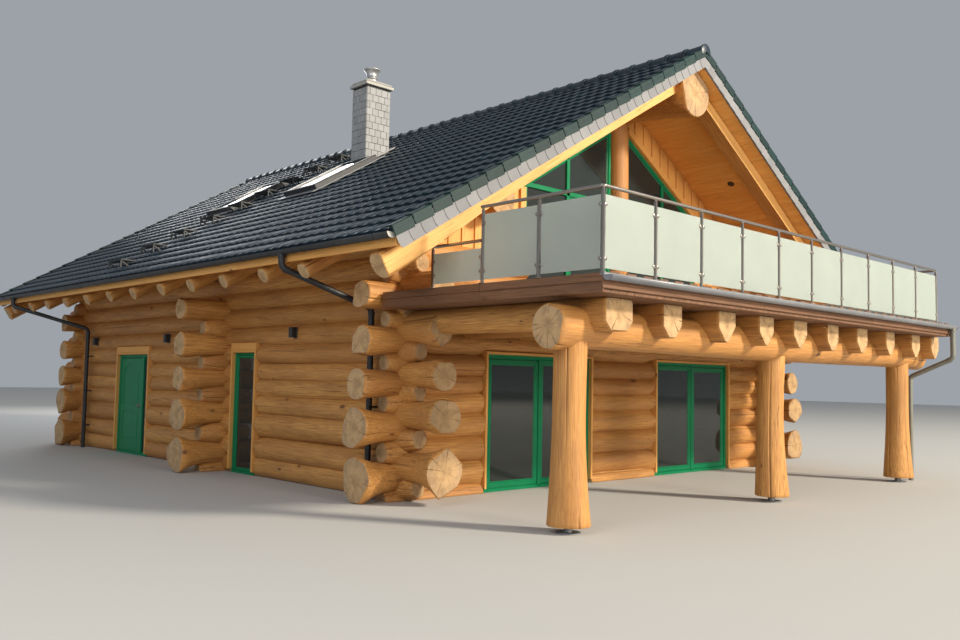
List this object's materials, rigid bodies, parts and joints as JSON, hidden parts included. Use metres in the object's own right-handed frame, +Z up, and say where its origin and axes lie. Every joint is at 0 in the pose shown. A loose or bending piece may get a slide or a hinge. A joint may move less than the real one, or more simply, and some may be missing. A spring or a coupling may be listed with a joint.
{
  "type": "log cabin",
  "caption": "Round log house with saddle-notched corners, tiled gable roof, glazed gable, balcony on posts with a glass railing, terrace doors and a side door.",
  "frame": {"origin": "middle of the building's outline at ground level", "axes": "+Z up, +Y from the balcony gable to the rear gable, +X to the right seen from the balcony side"},
  "size_m": [13.4526, 17.8753, 8.3306],
  "materials": {
    "log_wood": "oiled spruce logs, weathered",
    "sawn_timber": "oiled sawn boards",
    "roof_tile": "dark glaze",
    "slate": "split slate",
    "dark_metal": "satin",
    "zinc": "dull sheet metal",
    "frame_green": "semi gloss",
    "glass": "clear",
    "frosted_glass": "frosted",
    "stainless": "brushed",
    "concrete": "screed"
  },
  "bodies": {
    "root": {"back_gable_boards": "sawn_timber", "back_wall": "log_wood", "balcony_beam": "log_wood", "balcony_deck": "sawn_timber", "balcony_downpipe": "zinc", "balcony_gutter": "zinc", "balcony_joists": "log_wood", "balcony_posts": "log_wood", "chimney": "slate", "chimney_cap": "zinc", "cross_wall": "log_wood", "downpipes": "dark_metal", "eave_fascias": "sawn_timber", "eave_gutters": "dark_metal", "flue_cowl": "dark_metal", "front_gable_boards": "sawn_timber", "front_wall_left": "log_wood", "front_wall_middle": "log_wood", "front_wall_right": "log_wood", "front_wall_upper": "log_wood", "gable_casings": "sawn_timber", "gable_posts": "log_wood", "ground_floor": "concrete", "left_roof_deck": "sawn_timber", "left_roof_tiles": "roof_tile", "left_wall_back": "log_wood", "left_wall_front": "log_wood", "left_wall_middle": "log_wood", "left_wall_upper": "log_wood", "opening_linings": "sawn_timber", "post_shoes": "dark_metal", "rafters": "log_wood", "railing_clamps": "stainless", "railing_frame": "stainless", "railing_glass": "frosted_glass", "ridge_and_purlins": "log_wood", "ridge_cap": "roof_tile", "right_roof_deck": "sawn_timber", "right_roof_tiles": "roof_tile", "right_wall": "log_wood", "roof_steps": "dark_metal", "side_door_frame": "frame_green", "skylight_frames": "dark_metal", "skylight_glass": "glass", "terrace_door_frames": "frame_green", "upper_floor": "sawn_timber", "verge_rafters": "log_wood", "verge_slates": "slate", "wall_lamps": "dark_metal", "window_frames": "frame_green", "window_glass": "glass"},
    "side_door": {"side_door_leaf": "frame_green", "side_door_knobs": "stainless"},
    "terrace_door_left": {"terrace_door_left_leaf": "frame_green", "terrace_door_left_glass": "glass"},
    "terrace_door_right": {"terrace_door_right_leaf": "frame_green", "terrace_door_right_glass": "glass"}
  },
  "joints": [
    {"name": "side_door_hinge", "type": "hinge", "parent": "root", "child": "side_door", "pos_m": [-5.01, 5.1345, 1.065], "axis": [0, 0, 1], "range_deg": [0, 90]},
    {"name": "terrace_door_left_hinge", "type": "hinge", "parent": "root", "child": "terrace_door_left", "pos_m": [-3.332, -4.7275, 1.065], "axis": [0, 0, 1], "range_deg": [0, 90]},
    {"name": "terrace_door_right_hinge", "type": "hinge", "parent": "root", "child": "terrace_door_right", "pos_m": [3.492, -4.7275, 1.065], "axis": [0, 0, -1], "range_deg": [0, 90]}
  ]
}
